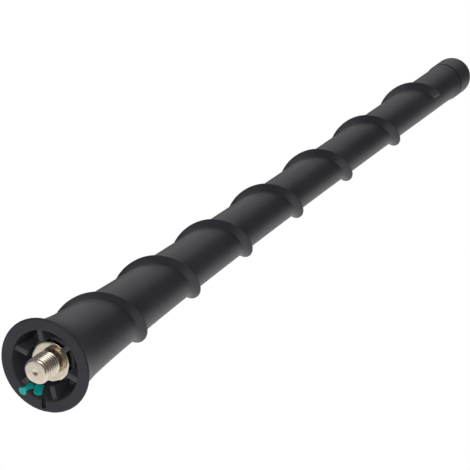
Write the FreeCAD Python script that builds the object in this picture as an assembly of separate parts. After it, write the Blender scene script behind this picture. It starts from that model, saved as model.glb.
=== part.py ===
import FreeCAD, Part
import math
import os

# A screw-in roof aerial mast, in millimetres.
# +Z runs up the mast, the seat of the foot lies in the plane z = 0, and the axis is x = y = 0.
# A rubber sheath with one helical fin is moulded over a wound glass-fibre rod and a plated stud.

Vector = FreeCAD.Vector
AXIS_POINT = Vector(0, 0, 0)
AXIS = Vector(0, 0, 1)
FULL_TURN = 360.0

# Fineness of the curves that follow a formula
BELL_STATIONS = 8
TAPER_RUNS = 3               # straight tapers that follow the upper stem
TAPER_SPREAD = 1.5           # the runs grow longer towards the tip
FIN_STATIONS_PER_TURN = 12
WINDING_RUNS_PER_TURN = 10   # the wire is drawn as straight runs of square section

# Whole mast
mast_length = 206.0          # seat to the end of the cap

# Bell foot
foot_radius = 10.85          # widest part, at the seat
foot_edge = 0.4              # bevel of the seat's outer edge
rim_width = 2.7              # flat ring that seats on the base
bell_decay = 4.0             # the bell's extra radius falls to a third over this height
bell_top = 17.0              # the bell's curve runs up to here, and straight tapers go on
recess_depth = 7.0
recess_draft = 1.1           # the recess is this much narrower at its floor
web_count = 6
web_thickness = 1.3
web_drop = 1.0               # tops of the webs, inside the seat
web_angle = 28.0             # place of the first web, in degrees from +X
web_gap = 0.4                # between a web's end and the stud's collar
drain_angle = 43.0           # place of the drain slot in the rim, in degrees from +X
drain_width = 1.0
drain_depth = 0.9
drain_stop = 0.8             # rim left outside the slot

# Tapered stem
stem_end_radius = 4.2        # radius that the taper settles to
stem_swell = 4.35            # extra radius that the taper has at the seat
stem_decay = 60.0            # the extra radius falls to a third over this height

# Helical fin
fin_pitch = 25.92
fin_start = 7.34             # height of the crest where the fin comes out of the bell
fin_tail_gap = 13.3          # from the fin's cut end to the cap's seam
fin_height = 1.35
fin_crest = 0.9              # thickness at the crest
fin_crest_round = 0.25
fin_heel = 1.2               # reach of the hollow flank that faces the foot
fin_hollow = 0.22            # depth of the hollow in that flank
fin_back = 0.25              # lean of the steep flank that faces the tip
fin_root = 0.8               # depth that the fin is rooted below the stem's surface
fin_start_share = 0.45       # share of the height that the fin has at its start
fin_fade = 8.8               # height over which the fin grows to its full size

# End cap
cap_height = 9.0             # from the seam to the end of its dome
cap_radius = 4.62
cap_lip = 0.18               # small bevel on each side of the seam
cap_plug_length = 5.0
tip_swell_length = 2.8       # the stem widens to the cap over this height

# Stud
stud_radius = 2.95           # crest radius of the fine thread
stud_reach = 3.85            # beyond the seat
stud_chamfer = 0.55
stud_dimple_radius = 0.7
stud_dimple_depth = 0.5
relief_radius = 2.3
relief_width = 0.9
collar_radius = 4.65
collar_drop = 2.5            # collar's face, inside the seat
collar_thickness = 1.6
collar_bevel = 0.25
shank_radius = 3.4
shank_length = 16.0
shank_groove_count = 1
shank_groove_depth = 0.6
shank_groove_width = 1.5
socket_depth = 10.0

# Wound core
rod_radius = 1.5
rod_clearance = 0.03         # glue line in the stud's socket
wire_radius = 0.25
wire_clearance = 0.03
winding_pitch = 12.0
winding_end_gap = 6.0        # bare rod below the cap's plug
sleeve_wall = 0.4
solder_height = 0.8
solder_width = 0.35          # thickness of the bead at its top

# Heights that follow from the sizes above
seam_height = mast_length - cap_height
plug_foot = seam_height - cap_plug_length
collar_back = collar_drop + collar_thickness
shank_top = collar_back + shank_length
socket_floor = shank_top - socket_depth
solder_top = shank_top + solder_height
recess_radius = foot_radius - rim_width
hub_radius = collar_radius + web_gap
wire_path_radius = (rod_radius + wire_clearance + wire_radius) / math.cos(math.pi / WINDING_RUNS_PER_TURN)
sleeve_bore = wire_path_radius + wire_radius + wire_clearance
sleeve_radius = sleeve_bore + sleeve_wall
fin_end = seam_height - fin_tail_gap
bell_flare = foot_radius - stem_end_radius - stem_swell


def stem_radius(height):
    taper = stem_swell * math.exp(-height / stem_decay)
    bell = bell_flare * math.exp(-(height - foot_edge) / bell_decay)
    return stem_end_radius + taper + bell


def outline_point(radius, height):
    return Vector(radius, 0, height)


def line(start, end):
    return Part.LineSegment(outline_point(*start), outline_point(*end)).toShape()


def revolve(edges):
    face = Part.Face(Part.Wire(Part.sortEdges(edges)[0]))
    return face.revolve(AXIS_POINT, AXIS, FULL_TURN)


def revolve_corners(corners):
    closed = corners + corners[:1]
    return revolve([line(start, end) for start, end in zip(closed, closed[1:])])


def arc(start, middle, end):
    return Part.Arc(outline_point(*start), outline_point(*middle), outline_point(*end)).toShape()


def smooth_curve(points):
    curve = Part.BSplineCurve()
    curve.interpolate(points)
    return curve.toShape()


# Rubber sheath

def stem_solid():
    swell_start = seam_height - tip_swell_length
    lip_radius = cap_radius - cap_lip
    bevel_start = seam_height - cap_lip
    bell_step = (bell_top - foot_edge) / BELL_STATIONS
    heights = [foot_edge + bell_step * k for k in range(BELL_STATIONS + 1)]
    bell = smooth_curve([outline_point(stem_radius(z), z) for z in heights])
    taper_shares = [(k / TAPER_RUNS) ** TAPER_SPREAD for k in range(TAPER_RUNS + 1)]
    breaks = [bell_top + (swell_start - bell_top) * share for share in taper_shares]
    tapers = [line((stem_radius(a), a), (stem_radius(b), b)) for a, b in zip(breaks, breaks[1:])]
    side_foot = (stem_radius(foot_edge), foot_edge)
    neck = (stem_radius(swell_start), swell_start)
    seat_edge = (side_foot[0] - foot_edge, 0)
    swell = Part.BezierCurve()
    half_swell = tip_swell_length / 2
    swell.setPoles([
        outline_point(*neck),
        outline_point(neck[0], swell_start + half_swell),
        outline_point(cap_radius, bevel_start - half_swell / 2),
        outline_point(cap_radius, bevel_start),
    ])
    return revolve([
        line((0, 0), seat_edge),
        line(seat_edge, side_foot),
        bell,
        *tapers,
        swell.toShape(),
        line((cap_radius, bevel_start), (lip_radius, seam_height)),
        line((lip_radius, seam_height), (0, seam_height)),
        line((0, seam_height), (0, 0)),
    ])


def fin_crest_radius(height):
    growth = 1 - (1 - fin_start_share) * math.exp(-(height - fin_start) / fin_fade)
    return stem_radius(height) + fin_height * growth


def fin_path():
    turns = (fin_end - fin_start) / fin_pitch
    steps = round(turns * FIN_STATIONS_PER_TURN)
    points = []
    for step in range(steps + 1):
        height = fin_start + (fin_end - fin_start) * step / steps
        angle = 2 * math.pi * (height - fin_start) / fin_pitch
        radius = fin_crest_radius(height)
        points.append(Vector(radius * math.cos(angle), radius * math.sin(angle), height))
    return Part.Wire(smooth_curve(points))


def fin_section():
    crest = fin_crest_radius(fin_start)
    root = crest - fin_height - fin_root
    crest_foot = fin_start - fin_crest / 2
    crest_tip = fin_start + fin_crest / 2
    shoulder = crest - fin_crest_round
    flank_rise = shoulder - root
    flank_reach = fin_heel * flank_rise / fin_height
    flank_length = math.hypot(flank_rise, flank_reach)
    heel = (root, crest_foot - flank_reach)
    hollow = (
        (root + shoulder) / 2 - fin_hollow * flank_reach / flank_length,
        crest_foot - flank_reach / 2 + fin_hollow * flank_rise / flank_length,
    )
    back = (root, crest_tip + fin_back * (crest - root) / fin_height)
    edges = [
        arc(heel, hollow, (shoulder, crest_foot)),
        line((shoulder, crest_foot), (crest, crest_foot + fin_crest_round)),
        line((crest, crest_foot + fin_crest_round), (crest, crest_tip)),
        line((crest, crest_tip), back),
        line(back, heel),
    ]
    return Part.Wire(Part.sortEdges(edges)[0])


def fin_solid():
    sweep = Part.BRepOffsetAPI.MakePipeShell(fin_path())
    sweep.setBiNormalMode(AXIS)
    sweep.add(fin_section())
    sweep.build()
    sweep.makeSolid()
    return sweep.shape()


def web_blank(angle):
    width = recess_radius
    blank = Part.makeBox(width, web_thickness, recess_depth, Vector(hub_radius, -web_thickness / 2, web_drop))
    blank.rotate(AXIS_POINT, AXIS, angle)
    return blank


def recess_cutter():
    below = -foot_edge
    cutter = revolve_corners([
        (0, below), (recess_radius, below), (recess_radius, 0),
        (recess_radius - recess_draft, recess_depth), (hub_radius, recess_depth),
        (hub_radius, collar_back), (0, collar_back),
    ])
    for index in range(web_count):
        cutter = cutter.cut(web_blank(web_angle + index * FULL_TURN / web_count))
    return cutter


def drain_cutter():
    end_radius = foot_radius - drain_stop - drain_width / 2
    length = end_radius - hub_radius
    slot = Part.makeBox(length, drain_width, 2 * drain_depth, Vector(hub_radius, -drain_width / 2, -drain_depth))
    rounded_end = Part.makeCylinder(drain_width / 2, 2 * drain_depth, Vector(end_radius, 0, -drain_depth))
    slot = slot.fuse(rounded_end).removeSplitter()
    slot.rotate(AXIS_POINT, AXIS, drain_angle)
    return slot


def insert_cutter():
    # the room that the stud's shank, the wound rod in its sleeve and the cap's plug take up
    shank = shank_solid()
    core = Part.makeCylinder(sleeve_radius, seam_height - shank_top, Vector(0, 0, shank_top))
    return shank.fuse(core).removeSplitter()


def mast_sheath():
    sheath = stem_solid().fuse(fin_solid())
    sheath = sheath.cut(recess_cutter())
    sheath = sheath.cut(drain_cutter())
    return sheath.cut(insert_cutter())


# End cap

def tip_cap():
    lip_radius = cap_radius - cap_lip
    bevel_end = seam_height + cap_lip
    dome_foot = mast_length - cap_radius
    body = revolve_corners([
        (0, plug_foot), (sleeve_radius, plug_foot), (sleeve_radius, seam_height),
        (lip_radius, seam_height), (cap_radius, bevel_end), (cap_radius, dome_foot), (0, dome_foot),
    ])
    dome = Part.makeSphere(cap_radius, Vector(0, 0, dome_foot), AXIS, 0, FULL_TURN / 4, FULL_TURN)
    return body.fuse(dome).removeSplitter()


# Plated stud

def shank_solid():
    corners = [(0, collar_back), (shank_radius, collar_back)]
    groove_radius = shank_radius - shank_groove_depth
    space = shank_length / (shank_groove_count + 1)
    for index in range(shank_groove_count):
        middle = collar_back + space * (index + 1)
        foot = middle - shank_groove_width / 2
        top = middle + shank_groove_width / 2
        corners += [(shank_radius, foot), (groove_radius, foot), (groove_radius, top), (shank_radius, top)]
    corners += [(shank_radius, shank_top), (0, shank_top)]
    return revolve_corners(corners)


def threaded_stud():
    end_face = -stud_reach
    turned = revolve_corners([
        (0, end_face + stud_dimple_depth),
        (stud_dimple_radius, end_face),
        (stud_radius - stud_chamfer, end_face),
        (stud_radius, end_face + stud_chamfer),
        (stud_radius, collar_drop - relief_width),
        (relief_radius, collar_drop - relief_width),
        (relief_radius, collar_drop),
        (collar_radius - collar_bevel, collar_drop),
        (collar_radius, collar_drop + collar_bevel),
        (collar_radius, collar_back),
        (0, collar_back),
    ])
    socket = Part.makeCylinder(rod_radius + rod_clearance, socket_depth, Vector(0, 0, socket_floor))
    return turned.fuse(shank_solid()).removeSplitter().cut(socket)


# Wound core

def core_rod():
    return Part.makeCylinder(rod_radius, plug_foot - socket_floor, Vector(0, 0, socket_floor))


def winding_point(run):
    angle = 2 * math.pi * run / WINDING_RUNS_PER_TURN
    height = solder_top + wire_radius + wire_clearance + winding_pitch * run / WINDING_RUNS_PER_TURN
    return Vector(wire_path_radius * math.cos(angle), wire_path_radius * math.sin(angle), height)


def radiator_winding():
    wound_length = plug_foot - winding_end_gap - solder_top
    run_count = int(wound_length / winding_pitch * WINDING_RUNS_PER_TURN)
    points = [winding_point(run) for run in range(run_count + 1)]
    along = (points[1] - points[0]).normalize()
    out = Vector(1, 0, 0)
    across = along.cross(out).normalize()
    half = wire_radius * math.sqrt(0.5)
    signs = [(1, 1), (1, -1), (-1, -1), (-1, 1), (1, 1)]
    corners = [points[0] + out * (half * a) + across * (half * b) for a, b in signs]
    right_corners = 1
    return Part.makePolygon(points).makePipeShell([Part.makePolygon(corners)], True, False, right_corners)


def winding_sleeve():
    length = plug_foot - shank_top
    tube = Part.makeCylinder(sleeve_radius, length, Vector(0, 0, shank_top))
    return tube.cut(Part.makeCylinder(sleeve_bore, length, Vector(0, 0, shank_top)))


def solder_joint():
    inner = rod_radius + rod_clearance
    return revolve_corners([
        (inner, shank_top), (sleeve_bore, shank_top), (inner + solder_width, solder_top), (inner, solder_top),
    ])


pieces = {
    "mast_sheath": mast_sheath,
    "tip_cap": tip_cap,
    "threaded_stud": threaded_stud,
    "core_rod": core_rod,
    "radiator_winding": radiator_winding,
    "winding_sleeve": winding_sleeve,
    "solder_joint": solder_joint,
}

os.makedirs("parts", exist_ok=True)
for name, make_piece in pieces.items():
    shape = make_piece()
    shape.exportStep(f"parts/{name}.step")
    print(name, "valid" if shape.isValid() else "not valid", len(shape.Solids), round(shape.Volume, 2))
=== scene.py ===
import bpy
import bmesh
import math
from mathutils import Matrix, Vector


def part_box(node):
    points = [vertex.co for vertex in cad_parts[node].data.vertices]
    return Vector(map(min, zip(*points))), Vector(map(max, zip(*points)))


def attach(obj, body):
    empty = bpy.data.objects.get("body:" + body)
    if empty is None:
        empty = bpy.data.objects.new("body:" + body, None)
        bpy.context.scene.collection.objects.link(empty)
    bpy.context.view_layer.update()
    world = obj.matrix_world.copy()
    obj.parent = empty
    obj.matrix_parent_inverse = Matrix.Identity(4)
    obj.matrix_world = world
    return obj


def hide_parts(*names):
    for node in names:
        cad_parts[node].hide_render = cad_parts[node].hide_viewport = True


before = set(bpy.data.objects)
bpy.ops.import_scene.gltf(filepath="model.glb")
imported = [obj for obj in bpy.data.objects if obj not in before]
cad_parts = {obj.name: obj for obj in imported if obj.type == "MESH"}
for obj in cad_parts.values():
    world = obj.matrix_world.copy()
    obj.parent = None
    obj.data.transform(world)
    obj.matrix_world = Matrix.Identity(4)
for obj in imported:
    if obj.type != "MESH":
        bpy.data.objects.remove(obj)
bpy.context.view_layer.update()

# Roof mast in rubber, screwed in by a plated stud.
# Lengths in the dictionaries are millimetres and angles are degrees, unless a note says otherwise.
mm = 0.001
fullTurn = 2 * math.pi
quarterArc = [math.radians(degrees) for degrees in (0, 30, 60, 90)]
weldReach = 0.002               # points nearer than this become one


def cadEdge(node, corner, axis):
    return getattr(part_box(node)[corner], axis) / mm


# shared places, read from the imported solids
seamHeight = cadEdge("mast_sheath", 1, "z")
mastTop = cadEdge("tip_cap", 1, "z")
plugFoot = cadEdge("tip_cap", 0, "z")
studEnd = cadEdge("threaded_stud", 0, "z")
shankTop = cadEdge("threaded_stud", 1, "z")
footRadius = cadEdge("mast_sheath", 1, "x")
collarRadius = cadEdge("threaded_stud", 1, "x")
capRadius = cadEdge("tip_cap", 1, "x")
boreRadius = cadEdge("winding_sleeve", 1, "x")

# shared by the rubber and the stud that is moulded into it
shankRadius = 3.4
collarBack = 4.1                # height of the face that the collar lies on

# shared by the rubber and the cap
seamDepth = 0.7
grooveFloor = capRadius - seamDepth                 # radius at the bottom of the open seam


# mesh helpers: a skin is a list of points and faces

def newSkin():
    return {"points": [], "faces": []}


def addPoint(skin, radius, angle, height):
    skin["points"].append((radius * math.cos(angle), radius * math.sin(angle), height))
    return len(skin["points"]) - 1


def addRing(skin, radius, angles, height):
    return [addPoint(skin, radius, angle, height) for angle in angles]


def addFace(skin, corners):
    kept = []
    for corner in corners:
        if corner not in kept:
            kept.append(corner)
    if len(kept) > 2:
        skin["faces"].append(kept)


def joinRings(skin, first, second):
    count = len(first)
    for i in range(count):
        after = (i + 1) % count
        addFace(skin, (first[i], first[after], second[after], second[i]))


def joinRow(skin, rings):
    for first, second in zip(rings, rings[1:]):
        joinRings(skin, first, second)


def fanRing(skin, ring, centre):
    for i in range(len(ring)):
        addFace(skin, (ring[i], ring[(i + 1) % len(ring)], centre))


def closeRing(skin, ring, height):
    fanRing(skin, ring, addPoint(skin, 0.0, 0.0, height))


def evenAngles(count):
    return [fullTurn * i / count for i in range(count)]


def span(start, end, steps):
    # even steps from start, without the end
    return [start + (end - start) * k / steps for k in range(steps)]


def softMax(first, second, reach):
    share = min(1.0, max(0.0, 0.5 + 0.5 * (first - second) / reach))
    return second + (first - second) * share + reach * share * (1 - share)


# A grid whose rows climb with a helix, so a fin or a thread keeps its edges on grid lines.
# The rows of one turn lie at the stations, which are offsets from the crest.
def helixSkin(skin, angles, pitch, crestAtZero, stations, low, high, radiusAt):
    rows = len(stations)
    bottom = addRing(skin, radiusAt(low, None, None), angles, low)
    top = addRing(skin, radiusAt(high, None, None), angles, high)
    touching = 1e-4             # a row this near an end takes the end's point
    made = {}

    def corner(column, row):
        if column == len(angles):
            column, row = 0, row + rows
        turn, station = divmod(row, rows)
        offset = stations[station]
        height = crestAtZero + pitch * (angles[column] / fullTurn + turn) + offset
        if height <= low + touching:
            return bottom[column]
        if height >= high - touching:
            return top[column]
        if (column, row) not in made:
            swept = angles[column] + fullTurn * turn
            radius = radiusAt(height, swept, offset)
            made[(column, row)] = addPoint(skin, radius, angles[column], height)
        return made[(column, row)]

    # with a spare turn at each end, whose faces fall together and are dropped
    firstTurn = math.floor((low - crestAtZero) / pitch) - 2
    lastTurn = math.ceil((high - crestAtZero) / pitch) + 1
    for row in range(firstTurn * rows, lastTurn * rows):
        for column in range(len(angles)):
            addFace(skin, (corner(column, row), corner(column + 1, row),
                           corner(column + 1, row + 1), corner(column, row + 1)))
    return bottom, top


def makePiece(name, skin, material, sharpAngle, node=None):
    mesh = bpy.data.meshes.new(name)
    mesh.from_pydata([tuple(c * mm for c in p) for p in skin["points"]], [], skin["faces"])
    work = bmesh.new()
    work.from_mesh(mesh)
    bmesh.ops.remove_doubles(work, verts=work.verts, dist=weldReach * mm)
    loose = [v for v in work.verts if not v.link_faces]
    bmesh.ops.delete(work, geom=loose, context="VERTS")
    bmesh.ops.recalc_face_normals(work, faces=work.faces)
    for face in work.faces:
        face.smooth = True
    work.to_mesh(mesh)
    work.free()
    mesh.set_sharp_from_angle(angle=math.radians(sharpAngle))
    piece = bpy.data.objects.new(name, mesh)
    bpy.context.scene.collection.objects.link(piece)
    mesh.materials.append(material)
    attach(piece, "root")
    if node:
        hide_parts(node)
    print("made", name, "with", len(mesh.polygons), "faces")


# materials

noiseReach = (0.3, 0.7)         # where most of a noise's values lie


def startMaterial(name):
    material = bpy.data.materials.new(name)
    material.use_nodes = True
    tree = material.node_tree
    return material, tree, tree.nodes["Principled BSDF"]


def addNode(tree, kind, **inputs):
    node = tree.nodes.new(kind)
    for key, value in inputs.items():
        node.inputs[key.replace("_", " ")].default_value = value
    return node


def mathNode(tree, kind, operation):
    node = tree.nodes.new(kind)
    node.operation = operation
    return node


def grainNode(tree, scale, detail=4.0, stretch=(1.0, 1.0, 1.0)):
    place = tree.nodes.new("ShaderNodeTexCoord")
    mapping = addNode(tree, "ShaderNodeMapping", Scale=stretch)
    grain = addNode(tree, "ShaderNodeTexNoise", Scale=scale, Detail=detail)
    tree.links.new(place.outputs["Object"], mapping.inputs["Vector"])
    tree.links.new(mapping.outputs["Vector"], grain.inputs["Vector"])
    return grain


def rampNode(tree, source, dark, light, reach=noiseReach):
    ramp = tree.nodes.new("ShaderNodeValToRGB")
    for element, position, colour in zip(ramp.color_ramp.elements, reach, (dark, light)):
        element.position = position
        element.color = (*colour, 1)
    tree.links.new(source, ramp.inputs["Fac"])
    return ramp


def spreadNode(tree, source, low, high, reach=noiseReach):
    spread = addNode(tree, "ShaderNodeMapRange", From_Min=reach[0], From_Max=reach[1],
                     To_Min=low, To_Max=high)
    tree.links.new(source, spread.inputs["Value"])
    return spread


def addBump(tree, shader, source, strength, depth):
    bump = addNode(tree, "ShaderNodeBump", Strength=strength, Distance=depth * mm)
    tree.links.new(source, bump.inputs["Height"])
    tree.links.new(bump.outputs["Normal"], shader.inputs["Normal"])


rubberLook = {
    "dark": (0.013, 0.0132, 0.0172),
    "light": (0.020, 0.0202, 0.0262),
    "mottle": 90.0,             # scale of the faint cloudiness
    "grain": 2600.0,            # scale of the fine moulded grain
    "grainDetail": 2.0,
    "grainStrength": 0.25,
    "grainDepth": 0.012,
    "roughness": (0.40, 0.48),
    "specular": 0.42,
}


def rubberMaterial(name, look):
    material, tree, shader = startMaterial(name)
    mottle = grainNode(tree, look["mottle"])
    colours = rampNode(tree, mottle.outputs["Fac"], look["dark"], look["light"])
    tree.links.new(colours.outputs["Color"], shader.inputs["Base Color"])
    grain = grainNode(tree, look["grain"], look["grainDetail"])
    sheen = spreadNode(tree, grain.outputs["Fac"], *look["roughness"])
    tree.links.new(sheen.outputs["Result"], shader.inputs["Roughness"])
    addBump(tree, shader, grain.outputs["Fac"], look["grainStrength"], look["grainDepth"])
    shader.inputs["Specular IOR Level"].default_value = look["specular"]
    return material


# painted light: lighter rubber colours inside the recess, in place of light reaching into it
recessPaintedLight = {
    "dark": (0.030, 0.030, 0.034),
    "light": (0.044, 0.044, 0.050),
    "mouth": 8.25,              # radius of the painted lightening at the seat
    "draft": 0.157,             # how fast it narrows with height
    "soft": 0.2,                # width of its edge
}


# Painted light: a lighter colour on the rubber inside the recess stands in for light that reaches into it,
# bounded by a cone round the mast's axis
def addPaintedRecessLight(material):
    tree = material.node_tree
    shader = tree.nodes["Principled BSDF"]
    plain = shader.inputs["Base Color"].links[0].from_socket
    mottle = grainNode(tree, rubberLook["mottle"])
    paintedLight = rampNode(tree, mottle.outputs["Fac"], recessPaintedLight["dark"], recessPaintedLight["light"])
    place = tree.nodes.new("ShaderNodeTexCoord")
    parts = tree.nodes.new("ShaderNodeSeparateXYZ")
    flat = addNode(tree, "ShaderNodeMapping", Scale=(1.0, 1.0, 0.0))
    radius = mathNode(tree, "ShaderNodeVectorMath", "LENGTH")
    cone = mathNode(tree, "ShaderNodeMath", "MULTIPLY_ADD")
    cone.inputs[1].default_value = recessPaintedLight["draft"]
    tree.links.new(place.outputs["Object"], parts.inputs["Vector"])
    tree.links.new(place.outputs["Object"], flat.inputs["Vector"])
    tree.links.new(flat.outputs["Vector"], radius.inputs[0])
    tree.links.new(parts.outputs["Z"], cone.inputs[0])
    tree.links.new(radius.outputs["Value"], cone.inputs[2])
    edge = ((recessPaintedLight["mouth"] - recessPaintedLight["soft"]) * mm, recessPaintedLight["mouth"] * mm)
    inside = spreadNode(tree, cone.outputs["Value"], 1.0, 0.0, edge)
    mix = tree.nodes.new("ShaderNodeMix")
    mix.data_type = "RGBA"
    factor, first, second, result = 0, 6, 7, 2      # the mix node's sockets for colours
    tree.links.new(inside.outputs["Result"], mix.inputs[factor])
    tree.links.new(plain, mix.inputs[first])
    tree.links.new(paintedLight.outputs["Color"], mix.inputs[second])
    tree.links.new(mix.outputs[result], shader.inputs["Base Color"])


nickelLook = {
    "dark": (0.68, 0.60, 0.49),
    "light": (0.83, 0.75, 0.63),
    "cloud": 700.0,
    "turning": 9000.0,          # scale of the turned marks
    "turningDetail": 2.0,
    "turningStretch": (0.05, 0.05, 1.0),            # draws the marks out round the axis
    "turningStrength": 0.2,
    "turningDepth": 0.006,
    "roughness": (0.17, 0.28),
}


def nickelMaterial():
    material, tree, shader = startMaterial("warmNickelPlate")
    cloud = grainNode(tree, nickelLook["cloud"])
    colours = rampNode(tree, cloud.outputs["Fac"], nickelLook["dark"], nickelLook["light"])
    tree.links.new(colours.outputs["Color"], shader.inputs["Base Color"])
    turning = grainNode(tree, nickelLook["turning"], nickelLook["turningDetail"],
                        nickelLook["turningStretch"])
    polish = spreadNode(tree, turning.outputs["Fac"], *nickelLook["roughness"])
    tree.links.new(polish.outputs["Result"], shader.inputs["Roughness"])
    addBump(tree, shader, turning.outputs["Fac"], nickelLook["turningStrength"], nickelLook["turningDepth"])
    shader.inputs["Metallic"].default_value = 1.0
    return material


# what the speckled finishes share, unless a finish says otherwise
speckledLook = {
    "reach": (0.35, 0.65),
    "detail": 4.0,
    "stretch": (1.0, 1.0, 1.0),
    "bumpStrength": 0.3,
    "bumpDepth": 0.02,
    "metallic": 0.0,
}


def speckledMaterial(name, finish):
    look = {**speckledLook, **finish}
    material, tree, shader = startMaterial(name)
    speckle = grainNode(tree, look["scale"], look["detail"], look["stretch"])
    colours = rampNode(tree, speckle.outputs["Fac"], look["dark"], look["light"], look["reach"])
    tree.links.new(colours.outputs["Color"], shader.inputs["Base Color"])
    sheen = spreadNode(tree, speckle.outputs["Fac"], *look["roughness"])
    tree.links.new(sheen.outputs["Result"], shader.inputs["Roughness"])
    addBump(tree, shader, speckle.outputs["Fac"], look["bumpStrength"], look["bumpDepth"])
    shader.inputs["Metallic"].default_value = look["metallic"]
    return material


tealLook = {
    "dark": (0.0035, 0.26, 0.23),
    "light": (0.008, 0.335, 0.30),
    "scale": 1500.0,
    "roughness": (0.40, 0.55),
}

sheathRubber = rubberMaterial("sheathRubber", rubberLook)
# the recess rubber gets its painted light
addPaintedRecessLight(sheathRubber)
capRubber = rubberMaterial("capRubber", {**rubberLook, "grain": 3100.0})
nickelPlate = nickelMaterial()
tealPaint = speckledMaterial("tealPaint", tealLook)
print("materials ready")


# rubber sheath: bell foot, ribbed recess, tapered stem and helical fin

sheath = {
    "edgeRound": 0.4,
    "edgeAngles": (20, 40, 60, 80),
    "seatWidth": 2.7,
    "seatSteps": 14,
    "mouthRound": 0.2,
    "bellDecay": 4.0,
    "bellSteps": 12,
    "stemEnd": 4.2,
    "stemSwell": 4.35,
    "stemDecay": 60.0,
    "recessDepth": 7.0,
    "recessDraft": 1.1,
    "floorRound": 0.35,
    "wallSteps": 8,
    "floorSteps": 8,
    "hubGap": 0.4,              # from the collar's rim to the hub's wall
    "hubSteps": 4,
    "webs": 6,
    "webAngle": 28.0,
    "webHalf": 0.65,
    "webLean": 0.06,
    "webDrop": 1.0,             # from the seat to a web's top
    "webRound": 0.22,           # along a web's top edges
    "webInsets": (0.0, 0.3, 1.0),                   # shares of that rounding that get a column
    "webCorner": 0.3,           # where a web's top meets the wall
    "webEnd": 0.25,             # where it meets the hub
    "roundSlack": 1.2,          # a straight starts this share of a rounding from its corner
    "gapColumns": 12,
    "columnSpace": 2.0,         # gap columns keep this far from the slot's and the fin's own columns
    "drainAngle": 43.0,
    "drainHalf": 0.5,
    "drainDepth": 0.9,
    "drainStop": 0.8,           # from the slot's round end to the foot's edge
    "drainSides": (-1, -0.5, 0, 0.5, 1),
    "drainLip": 0.05,           # width of the slot's steep sides
    "drainMargin": 0.1,
    "tipSwell": 2.8,
    "tipSteps": 5,
    "swellSteps": 10,
    "seamLip": 0.2,
    "seamGap": 0.2,
    "sharp": 28.0,
}

fin = {
    "pitch": 25.92,
    "start": 7.34,              # height of the crest where the fin comes out of the bell
    "tailGap": 13.3,            # from the fin's end to the cap's seam
    "height": 1.35,
    "crest": 0.9,
    "crestFlat": 0.35,          # narrow top on the crest's tip side
    "heel": 1.7,                # reach of the hollow flank that faces the foot
    "hollow": 1.15,             # 1 would be a straight flank
    "back": 0.25,               # lean of the steep side
    "backReach": 0.25,          # from the steep side's foot to the end of its fillet
    "calm": 0.8,                # close rows on the stem beyond the fillet
    "rows": (9, 20, 4, 10, 3, 9),                   # below, flank, crest, back, calm, above
    "startShare": 0.45,
    "fade": 8.8,
    "rootFillet": 0.16,
    "endRound": 1.6,            # rounded corner at each end
    "endShares": (0.2, 0.5, 1.0),                   # shares of that corner that get a column
    "endStep": 7.0,             # turn that the sloping end face takes
    "endCorner": 0.82,          # share of the height at the top of the end face
    "plainBelow": 1.2,          # stem in the fin's grid below the heel
    "plainAbove": 2.0,          # and above the fin's end
}

recessRadius = footRadius - sheath["seatWidth"]
drainEnd = footRadius - sheath["drainStop"]
finEnd = seamHeight - fin["tailGap"]
finSwept = fullTurn * (finEnd - fin["start"]) / fin["pitch"]


def taperRadius(height):
    return sheath["stemEnd"] + sheath["stemSwell"] * math.exp(-height / sheath["stemDecay"])


def stemRadius(height):
    # the taper, with a bell that reaches the foot's radius at the edge rounding
    edge = sheath["edgeRound"]
    bell = (footRadius - taperRadius(edge)) * math.exp(-(height - edge) / sheath["bellDecay"])
    return taperRadius(height) + bell


def finHeightAt(height):
    missing = (1 - fin["startShare"]) * math.exp(-(height - fin["start"]) / fin["fade"])
    return fin["height"] * (1 - missing)


def finRise(offset):
    # share of the fin's height at this offset along the mast: hollow flank, narrow crest, steep back
    half = fin["crest"] / 2
    flankTop = half - fin["crestFlat"]
    if offset > half:
        return 1 - (offset - half) / fin["back"]
    if offset > flankTop:
        return 1.0
    along = min(1.0, (flankTop - offset) / fin["heel"])
    return (1 - along) ** fin["hollow"]


def finShare(swept):
    # 1 along the fin, 0 beyond its ends, with a steep end face and a small rounded corner
    inside = math.degrees(min(swept, finSwept - swept))
    if inside < 0:
        return fin["endCorner"] * max(0.0, 1 + inside / fin["endStep"])
    corner = min(1.0, inside / fin["endRound"])
    return fin["endCorner"] + (1 - fin["endCorner"]) * math.sqrt(1 - (1 - corner) ** 2)


def sheathRadius(height, swept, offset):
    stem = stemRadius(height)
    if swept is None:
        return stem
    share = finShare(swept)
    if share == 0.0:
        return stem
    crestHeight = height - offset
    rise = finHeightAt(crestHeight)
    crest = stemRadius(crestHeight) + rise
    if offset <= 0:
        raised = stem + (crest - stem) * finRise(offset)
    else:
        raised = softMax(min(crest, stem + rise * finRise(offset)), stem, fin["rootFillet"])
    return stem + (raised - stem) * share


def finStations():
    half = fin["crest"] / 2
    flankTop = half - fin["crestFlat"]
    backFoot = half + fin["back"] + fin["backReach"]
    bounds = [-fin["pitch"] / 2, flankTop - fin["heel"], flankTop, half,
              backFoot, backFoot + fin["calm"], fin["pitch"] / 2]
    stations = []
    for start, end, rows in zip(bounds, bounds[1:], fin["rows"]):
        stations += span(start, end, rows)
    return stations


# Each column of the sheath is an angle that may shift with the radius, so that webs stay parallel-sided
def webColumn(centre, offset):
    return {"kind": "web", "offset": offset,
            "angle": lambda radius: centre + math.asin(offset / min(radius, recessRadius))}


def gapColumn(centre, share):
    edge = sheath["webHalf"] + sheath["webLean"]
    step = fullTurn / sheath["webs"]

    def angle(radius):
        half = math.asin(edge / min(radius, recessRadius))
        return centre + half + (step - 2 * half) * share
    return {"kind": "gap", "angle": angle}


def drainHalfAt(radius):
    # the slot's half width, with a round end
    half = sheath["drainHalf"]
    least = 0.001
    beyond = max(0.0, radius - (drainEnd - half))
    return math.sqrt(max(least ** 2, half ** 2 - beyond ** 2))


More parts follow.
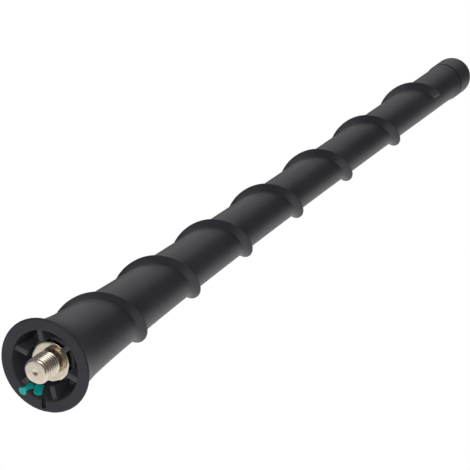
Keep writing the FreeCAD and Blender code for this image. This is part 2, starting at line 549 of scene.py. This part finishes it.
def drainColumn(side, inSlot):
    centre = math.radians(sheath["drainAngle"])
    wider = 0.0 if inSlot else sheath["drainLip"]

    def angle(radius):
        near = max(radius, recessRadius)
        return centre + side * math.asin((drainHalfAt(near) + wider) / near)
    return {"kind": "drain" if inSlot else "gap", "angle": angle}


def fixedColumn(angle):
    return {"kind": "gap", "angle": lambda radius: angle}


def specialColumns():
    # the drain slot's columns and those at the fin's two ends
    columns = [drainColumn(side, True) for side in sheath["drainSides"]]
    columns += [drainColumn(side, False) for side in (-1, 1)]
    finEnds = [-fin["endStep"], -fin["endStep"] / 2, 0.0]
    finEnds += [fin["endRound"] * share for share in fin["endShares"]]
    for degrees in finEnds:
        columns.append(fixedColumn(math.radians(degrees) % fullTurn))
        columns.append(fixedColumn((finSwept - math.radians(degrees)) % fullTurn))
    return columns


def angleBetween(first, second):
    return abs((first - second + math.pi) % fullTurn - math.pi)


def sheathColumns():
    special = specialColumns()
    taken = [column["angle"](recessRadius) for column in special]
    columns = []
    for centre in evenAngles(sheath["webs"]):
        centre += math.radians(sheath["webAngle"])
        for inset in sheath["webInsets"]:
            offset = sheath["webHalf"] - sheath["webRound"] * inset
            columns += [webColumn(centre, -offset), webColumn(centre, offset)]
        columns += [webColumn(centre, 0.0), gapColumn(centre, 0.0), gapColumn(centre, 1.0)]
        for k in range(1, sheath["gapColumns"]):
            column = gapColumn(centre, k / sheath["gapColumns"])
            here = column["angle"](recessRadius)
            if min(angleBetween(here, other) for other in taken) > math.radians(sheath["columnSpace"]):
                columns.append(column)
    columns += special
    columns.sort(key=lambda column: column["angle"](recessRadius) % fullTurn)
    return columns


def webLift(column):
    # the rounded top edge of a web
    inset = (sheath["webHalf"] - abs(column["offset"])) / sheath["webRound"]
    over = max(0.0, 1 - inset)
    return sheath["webRound"] * (1 - math.sqrt(max(0.0, 1 - over * over)))


def wallRadius(height):
    return recessRadius - sheath["recessDraft"] * height / sheath["recessDepth"]


def recessPath(column):
    # (radius, height) from the seat's inner edge along the wall, over the floor or a web, and along the hub
    mouth = sheath["mouthRound"]
    slack = sheath["roundSlack"]
    hub = collarRadius + sheath["hubGap"]
    if column["kind"] == "web":
        level = sheath["webDrop"] + webLift(column)
        corner, end = sheath["webCorner"], sheath["webEnd"]
        inwards = 1             # the hub's wall runs on, deeper than a web's top
    else:
        level = sheath["recessDepth"]
        corner = end = sheath["floorRound"]
        inwards = -1            # and comes back from the floor
    if column["kind"] == "drain":
        start = sheath["drainDepth"]
        lip = [(recessRadius, start) for turn in quarterArc]
    else:
        start = mouth
        lip = [(recessRadius + mouth * (1 - math.sin(turn)), mouth * (1 - math.cos(turn)))
               for turn in quarterArc]
    outer = wallRadius(level)
    wall = [(wallRadius(height), height)
            for height in span(start + mouth * (slack - 1), level - corner, sheath["wallSteps"])]
    wallFoot = [(outer - corner * (1 - math.cos(turn)), level - corner * (1 - math.sin(turn)))
                for turn in quarterArc]
    floor = [(radius, level) for radius in span(outer - corner * slack, hub + end, sheath["floorSteps"])]
    hubFoot = [(hub + end * (1 - math.sin(turn)), level + inwards * end * (1 - math.cos(turn)))
               for turn in quarterArc]
    hubWall = [(hub, height)
               for height in span(level + inwards * end * slack, collarBack, sheath["hubSteps"])]
    collarSeat = [(radius, collarBack) for radius in (hub, collarRadius, shankRadius)]
    return lip + wall + wallFoot + floor + hubFoot + hubWall + collarSeat


def bellRings(skin, angles, low):
    edge = sheath["edgeRound"]
    rings = []
    for height in span(low, edge, sheath["bellSteps"])[1:] + [edge]:
        rings.append(addRing(skin, stemRadius(height), angles, height))
    for degrees in sheath["edgeAngles"]:
        turn = math.radians(degrees)
        radius = footRadius - edge * (1 - math.cos(turn))
        rings.append(addRing(skin, radius, angles, edge * (1 - math.sin(turn))))
    return rings


def seatRings(skin, columns):
    mouth = recessRadius + sheath["mouthRound"]
    stops = [footRadius - sheath["edgeRound"]]
    stops += span(drainEnd + sheath["drainMargin"], mouth, sheath["seatSteps"])
    rings = []
    for radius in stops:
        ring = []
        for column in columns:
            sunk = column["kind"] == "drain" and radius < drainEnd
            height = sheath["drainDepth"] if sunk else 0.0
            ring.append(addPoint(skin, radius, column["angle"](radius), height))
        rings.append(ring)
    return rings


def recessRings(skin, columns):
    rings = []
    for stop in zip(*[recessPath(column) for column in columns]):
        rings.append([addPoint(skin, radius, column["angle"](radius), height)
                      for column, (radius, height) in zip(columns, stop)])
    return rings


def tipRings(skin, angles, high):
    # tip end, seam lip, and the bore back down to the shank
    lip = sheath["seamLip"]
    seamFace = seamHeight - sheath["seamGap"]
    swellStart = seamHeight - sheath["tipSwell"]
    neck = stemRadius(swellStart)
    outline = [(stemRadius(height), height) for height in span(high, swellStart, sheath["tipSteps"])[1:]]
    for k in range(sheath["swellSteps"] + 1):
        share = k / sheath["swellSteps"]
        ease = share * share * (3 - 2 * share)
        outline.append((neck + (capRadius - neck) * ease, swellStart + (seamFace - lip - swellStart) * share))
    for turn in quarterArc[1:]:
        outline.append((capRadius - lip * (1 - math.cos(turn)), seamFace - lip * (1 - math.sin(turn))))
    outline += [(grooveFloor, seamFace), (grooveFloor, seamHeight), (boreRadius, seamHeight)]
    outline += [(boreRadius, shankTop), (shankRadius, shankTop)]
    return [addRing(skin, radius, angles, height) for radius, height in outline]


def buildSheath():
    skin = newSkin()
    columns = sheathColumns()
    angles = [column["angle"](footRadius) % fullTurn for column in columns]
    low = fin["start"] - fin["heel"] - fin["plainBelow"]
    high = finEnd + fin["plainAbove"]
    bottom, top = helixSkin(skin, angles, fin["pitch"], fin["start"], finStations(), low, high, sheathRadius)
    footRow = [bottom] + bellRings(skin, angles, low) + seatRings(skin, columns) + recessRings(skin, columns)
    joinRow(skin, footRow)
    joinRow(skin, [top] + tipRings(skin, angles, high) + [footRow[-1]])
    makePiece("rubberSheath", skin, sheathRubber, sheath["sharp"], "mast_sheath")


buildSheath()


# end cap

cap = {
    "columns": 96,
    "domeRings": 22,
    "lip": 0.2,
    "gap": 0.16,                # the cap's half of the open seam
    "wallStart": 0.5,           # from the lip to the wall's first ring
    "wallSteps": 3,
    "sharp": 42.0,
}


def buildCap():
    skin = newSkin()
    angles = evenAngles(cap["columns"])
    lip = cap["lip"]
    domeFoot = mastTop - capRadius
    face = seamHeight + cap["gap"]
    outline = [(boreRadius, plugFoot), (boreRadius, seamHeight)]
    outline += [(grooveFloor, seamHeight), (grooveFloor, face)]
    for turn in quarterArc:
        outline.append((capRadius - lip * (1 - math.sin(turn)), face + lip * (1 - math.cos(turn))))
    for height in span(face + lip + cap["wallStart"], domeFoot, cap["wallSteps"]):
        outline.append((capRadius, height))
    for turn in span(0.0, math.pi / 2, cap["domeRings"]):
        outline.append((capRadius * math.cos(turn), domeFoot + capRadius * math.sin(turn)))
    rings = [addRing(skin, radius, angles, height) for radius, height in outline]
    joinRow(skin, rings)
    closeRing(skin, rings[0], plugFoot)
    closeRing(skin, rings[-1], mastTop)
    makePiece("endCap", skin, capRubber, cap["sharp"], "tip_cap")


buildCap()


# plated stud with its thread

stud = {
    "crest": 2.95,
    "pitch": 0.75,
    "depth": 0.44,
    "crestFlat": 0.12,          # shares of the pitch
    "rootFlat": 0.22,
    "threadRows": 16,
    "runOut": 0.25,             # slope from the last thread down into the relief
    "chamfer": 0.55,
    "endStep": 0.02,            # small rise at the rim of the end face
    "endRings": 4,
    "dimple": 0.7,
    "dimpleDepth": 0.25,
    "dimpleShares": (0.15, 0.5, 0.85, 1.0),
    "dimpleMargin": 0.1,
    "reliefRadius": 2.3,
    "reliefWidth": 0.9,
    "reliefFillet": ((0.0, 0.15), (0.05, 0.04), (0.15, 0.0)),       # out and down from its corner
    "collarDrop": 2.5,          # height of the collar's face
    "collarBevel": 0.25,
    "collarMargin": 0.5,
    "collarRings": 4,
    "grooves": 1,
    "grooveDepth": 0.6,
    "grooveWidth": 1.5,
    "socketRadius": 1.53,
    "socketDepth": 10.0,
    "columns": 96,
    "sharp": 35.0,
}


def threadRadius(height, swept, offset):
    cut = stud["depth"]
    if swept is not None:
        away = abs(offset) / stud["pitch"] * 2
        flank = (away - stud["crestFlat"]) / (1 - stud["crestFlat"] - stud["rootFlat"])
        cut *= min(1.0, max(0.0, flank))
    lead = stud["crest"] - stud["chamfer"] + height - studEnd
    return min(stud["crest"] - cut, lead)


def noseOutline():
    # from the dimple's floor to the rim of the end face
    dimple = stud["dimple"]
    rim = stud["crest"] - stud["chamfer"] - stud["endStep"]
    outline = []
    for share in stud["dimpleShares"]:
        outline.append((dimple * share, studEnd + stud["dimpleDepth"] * (1 - share)))
    for radius in span(dimple + stud["dimpleMargin"], rim, stud["endRings"]):
        outline.append((radius, studEnd))
    return outline


def backOutline(reliefFoot):
    # from the relief over the collar and the grooved shank into the rod's socket
    relief = stud["reliefRadius"]
    drop, bevel = stud["collarDrop"], stud["collarBevel"]
    outline = [(relief, reliefFoot + stud["runOut"])]
    for out, down in stud["reliefFillet"]:
        outline.append((relief + out, drop - down))
    for radius in span(relief + stud["collarMargin"], collarRadius - bevel, stud["collarRings"]):
        outline.append((radius, drop))
    for turn in quarterArc:
        outline.append((collarRadius - bevel * (1 - math.sin(turn)), drop + bevel * (1 - math.cos(turn))))
    outline += [(collarRadius, collarBack), (shankRadius, collarBack)]
    half = stud["grooveWidth"] / 2
    inner = shankRadius - stud["grooveDepth"]
    for middle in span(collarBack, shankTop, stud["grooves"] + 1)[1:]:
        outline += [(shankRadius, middle - half), (inner, middle - half)]
        outline += [(inner, middle + half), (shankRadius, middle + half)]
    outline += [(shankRadius, shankTop), (stud["socketRadius"], shankTop)]
    outline.append((stud["socketRadius"], shankTop - stud["socketDepth"]))
    return outline


def buildStud():
    skin = newSkin()
    angles = evenAngles(stud["columns"])
    pitch = stud["pitch"]
    low = studEnd + stud["endStep"]
    reliefFoot = stud["collarDrop"] - stud["reliefWidth"]
    stations = span(-pitch / 2, pitch / 2, stud["threadRows"])
    bottom, top = helixSkin(skin, angles, pitch, low, stations, low, reliefFoot, threadRadius)
    nose = [addRing(skin, radius, angles, height) for radius, height in noseOutline()]
    joinRow(skin, nose + [bottom])
    closeRing(skin, nose[0], studEnd + stud["dimpleDepth"])
    back = [addRing(skin, radius, angles, height) for radius, height in backOutline(reliefFoot)]
    joinRow(skin, [top] + back)
    closeRing(skin, back[-1], shankTop - stud["socketDepth"])
    makePiece("platedStud", skin, nickelPlate, stud["sharp"], "threaded_stud")


buildStud()


# dab of paint on the recess wall: two strokes that meet at their deep ends

paint = {
    "thickness": 0.16,
    "fullness": 4,              # a higher power gives a flatter top
    "sunk": 0.03,               # how far the film's back lies in the rubber
    "turnOver": 0.6,            # length over which the film turns from the seat to the wall
    "rings": 7,
    "spokes": 40,
    "spokeShift": 0.001,        # radians, keeps each spoke clear of the line between a stroke's halves
    "backShare": 0.5,           # place of the ring on the film's back
    # each stroke: angle and path length at both ends, half width; a path below 0 lies on the seat
    "strokes": [
        {"from": (80.0, -1.7), "to": (76.0, 3.0), "half": 0.95},
        {"from": (58.0, 0.7), "to": (70.0, 4.6), "half": 1.0},
    ],
    "sharp": 60.0,
}


def paintSurface(along):
    # radius, height and outward direction on the seat (along < 0) or on the wall
    blend = min(1.0, max(0.0, 0.5 + along / paint["turnOver"]))
    facing = Vector((-blend, 0.0, blend - 1.0)).normalized()
    if along < 0:
        return recessRadius - along, 0.0, facing
    return wallRadius(along), along, facing


def addStroke(skin, stroke):
    (startAngle, startAlong), (endAngle, endAlong) = stroke["from"], stroke["to"]
    start = Vector((math.radians(startAngle) * recessRadius, startAlong))
    end = Vector((math.radians(endAngle) * recessRadius, endAlong))
    middle = (start + end) / 2
    forward = (end - start).normalized()
    sideways = Vector((-forward.y, forward.x))
    straight = max(0.0, (end - start).length / 2 - stroke["half"])

    def place(share, turn, lift):
        across = stroke["half"] * math.sin(turn)
        ahead = stroke["half"] * math.cos(turn) + math.copysign(straight, math.cos(turn))
        spot = middle + (forward * ahead + sideways * across) * share
        radius, height, facing = paintSurface(spot.y)
        return addPoint(skin, radius + facing.x * lift, spot.x / recessRadius, height + facing.z * lift)

    def liftAt(share):
        if share == 1.0:
            return -paint["sunk"]
        return paint["thickness"] * math.sqrt(1 - share ** paint["fullness"])

    turns = [turn + paint["spokeShift"] for turn in evenAngles(paint["spokes"])]
    shares = span(1.0, 0.0, paint["rings"])
    rings = [[place(share, turn, liftAt(share)) for turn in turns] for share in shares]
    back = [place(paint["backShare"], turn, -paint["sunk"]) for turn in turns]
    joinRow(skin, [back] + rings)
    fanRing(skin, rings[-1], place(0.0, 0.0, paint["thickness"]))
    fanRing(skin, back, place(0.0, 0.0, -paint["sunk"]))


def buildPaint():
    skin = newSkin()
    for stroke in paint["strokes"]:
        addStroke(skin, stroke)
    makePiece("paintDab", skin, tealPaint, paint["sharp"])


buildPaint()


# inner pieces keep their solids and get their finishes

innerFinishes = {
    "core_rod": {
        "name": "drawnGlassFibre",
        "dark": (0.52, 0.50, 0.36),
        "light": (0.64, 0.62, 0.48),
        "scale": 2500.0,
        "stretch": (1.0, 1.0, 0.03),                # fibres along the rod
        "roughness": (0.35, 0.5),
    },
    "radiator_winding": {
        "name": "enamelledCopper",
        "dark": (0.48, 0.17, 0.07),
        "light": (0.62, 0.25, 0.11),
        "scale": 1800.0,
        "roughness": (0.2, 0.35),
        "metallic": 1.0,
    },
    "winding_sleeve": {
        "name": "shrinkTube",
        "dark": (0.015, 0.015, 0.016),
        "light": (0.03, 0.03, 0.032),
        "scale": 1200.0,
        "roughness": (0.4, 0.6),
    },
    "solder_joint": {
        "name": "tinSolder",
        "dark": (0.42, 0.42, 0.41),
        "light": (0.58, 0.58, 0.56),
        "scale": 900.0,
        "roughness": (0.25, 0.4),
        "metallic": 1.0,
    },
}


def dressInnerPieces():
    for node, finish in innerFinishes.items():
        solid = bpy.data.objects[node]
        solid.data.materials.clear()
        solid.data.materials.append(speckledMaterial(finish["name"], finish))
    print("dressed", len(innerFinishes), "inner pieces")


dressInnerPieces()


# stage: a pale floor under the stud, seen only from above, and a white surround

stage = {
    "floorSize": 12000.0,
    "floorDrop": 0.01,          # below the stud's end
    "floorDark": (0.93, 0.93, 0.93),
    "floorLight": (0.95, 0.95, 0.95),
    "floorWash": 6.0,           # scale of the floor's faint clouds
    "floorRoughness": 0.9,
    "floorGlow": 0.36,          # lifts the sheet to a near white
    "surround": 0.55,           # light of the surround on matt surfaces
    "brightSide": (0.757, 0.65, 0.0),
    "dimGlossy": 0.18,          # mirrored surround away from the bright side
    "glossyReach": (0.17, 0.45),
}

white = (1, 1, 1, 1)


def floorMaterial():
    material, tree, shader = startMaterial("paleFloor")
    wash = grainNode(tree, stage["floorWash"])
    colours = rampNode(tree, wash.outputs["Fac"], stage["floorDark"], stage["floorLight"])
    tree.links.new(colours.outputs["Color"], shader.inputs["Base Color"])
    shader.inputs["Roughness"].default_value = stage["floorRoughness"]
    shader.inputs["Emission Color"].default_value = white
    shader.inputs["Emission Strength"].default_value = stage["floorGlow"]
    # shown from above only, and the mast itself gets its light through the sheet
    facing = tree.nodes.new("ShaderNodeNewGeometry")
    rays = tree.nodes.new("ShaderNodeLightPath")
    shown = mathNode(tree, "ShaderNodeMath", "SUBTRACT")
    shown.use_clamp = True
    clear = tree.nodes.new("ShaderNodeBsdfTransparent")
    mix = tree.nodes.new("ShaderNodeMixShader")
    output = tree.nodes["Material Output"]
    tree.links.new(rays.outputs["Is Camera Ray"], shown.inputs[0])
    tree.links.new(facing.outputs["Backfacing"], shown.inputs[1])
    tree.links.new(shown.outputs["Value"], mix.inputs[0])
    tree.links.new(clear.outputs["BSDF"], mix.inputs[1])
    tree.links.new(shader.outputs["BSDF"], mix.inputs[2])
    tree.links.new(mix.outputs["Shader"], output.inputs["Surface"])
    return material


def buildFloor():
    half = stage["floorSize"] / 2 * mm
    height = (studEnd - stage["floorDrop"]) * mm
    mesh = bpy.data.meshes.new("floorSheet")
    corners = [(-half, -half, height), (half, -half, height), (half, half, height), (-half, half, height)]
    mesh.from_pydata(corners, [], [(0, 1, 2, 3)])
    mesh.materials.append(floorMaterial())
    floor = bpy.data.objects.new("floorSheet", mesh)
    bpy.context.scene.collection.objects.link(floor)


def buildSurround():
    world = bpy.data.worlds.new("whiteSurround")
    bpy.context.scene.world = world
    world.use_nodes = True
    tree = world.node_tree
    tree.nodes.clear()
    rays = tree.nodes.new("ShaderNodeLightPath")
    soft = addNode(tree, "ShaderNodeBackground", Color=white, Strength=stage["surround"])
    plain = addNode(tree, "ShaderNodeBackground", Color=white, Strength=1.0)
    # what glossy surfaces mirror is brighter towards one side
    mirrored = addNode(tree, "ShaderNodeBackground", Color=white)
    place = tree.nodes.new("ShaderNodeTexCoord")
    towards = mathNode(tree, "ShaderNodeVectorMath", "DOT_PRODUCT")
    towards.inputs[1].default_value = stage["brightSide"]
    tree.links.new(place.outputs["Generated"], towards.inputs[0])
    level = spreadNode(tree, towards.outputs["Value"], stage["dimGlossy"], 1.0, stage["glossyReach"])
    tree.links.new(level.outputs["Result"], mirrored.inputs["Strength"])
    glossyMix = tree.nodes.new("ShaderNodeMixShader")
    tree.links.new(rays.outputs["Is Glossy Ray"], glossyMix.inputs[0])
    tree.links.new(soft.outputs["Background"], glossyMix.inputs[1])
    tree.links.new(mirrored.outputs["Background"], glossyMix.inputs[2])
    # and the background itself is plain white
    seen = mathNode(tree, "ShaderNodeMath", "MAXIMUM")
    tree.links.new(rays.outputs["Is Camera Ray"], seen.inputs[0])
    tree.links.new(rays.outputs["Is Transmission Ray"], seen.inputs[1])
    mix = tree.nodes.new("ShaderNodeMixShader")
    tree.links.new(seen.outputs["Value"], mix.inputs[0])
    tree.links.new(glossyMix.outputs["Shader"], mix.inputs[1])
    tree.links.new(plain.outputs["Background"], mix.inputs[2])
    output = tree.nodes.new("ShaderNodeOutputWorld")
    tree.links.new(mix.outputs["Shader"], output.inputs["Surface"])


buildFloor()
buildSurround()
print("stage set")


# camera below the foot, looking along the mast, and the lamps

camera = {
    "place": (-0.05, -607.24, -777.60),
    "right": (0.57935, -0.66697, 0.46864),
    "up": (-0.81504, -0.47344, 0.33393),
    "lens": 354.6,
    "sensor": 36.0,
    "clip": (10.0, 50000.0),
}


def buildCamera():
    data = bpy.data.cameras.new("benchCamera")
    data.sensor_width = camera["sensor"]
    data.lens = camera["lens"]
    data.clip_start = camera["clip"][0] * mm
    data.clip_end = camera["clip"][1] * mm
    right = Vector(camera["right"]).normalized()
    up = Vector(camera["up"])
    up = (up - right * up.dot(right)).normalized()
    turned = Matrix((right, up, right.cross(up))).transposed()
    view = bpy.data.objects.new("benchCamera", data)
    view.matrix_world = Matrix.Translation(Vector(camera["place"]) * mm) @ turned.to_4x4()
    bpy.context.scene.collection.objects.link(view)
    bpy.context.scene.camera = view


lampAim = 0.4                   # share of the mast's height that the lamps point at
lamps = {
    "softKey": {
        "from": (-0.79, -0.25, 0.56), "away": 700.0, "size": 1000.0, "watts": 2.35, "mirrored": True,
    },
    "frontFill": {
        "from": (-0.10, -0.35, -0.93), "away": 800.0, "size": 300.0, "watts": 3.4, "mirrored": False,
    },
    "studGlint": {
        "from": (-0.34, -0.25, -0.91), "away": 800.0, "size": 260.0, "watts": 0.5, "mirrored": True,
    },
}


def buildLamps():
    aim = Vector((0.0, 0.0, mastTop * lampAim)) * mm
    for name, lamp in lamps.items():
        data = bpy.data.lights.new(name, "AREA")
        data.size = lamp["size"] * mm
        data.energy = lamp["watts"]
        lit = bpy.data.objects.new(name, data)
        lit.location = aim + Vector(lamp["from"]).normalized() * lamp["away"] * mm
        lit.rotation_euler = (aim - lit.location).to_track_quat("-Z", "Y").to_euler()
        lit.visible_glossy = lamp["mirrored"]
        bpy.context.scene.collection.objects.link(lit)


buildCamera()
buildLamps()
bpy.context.scene.view_settings.view_transform = "Standard"
print("camera and lamps set")
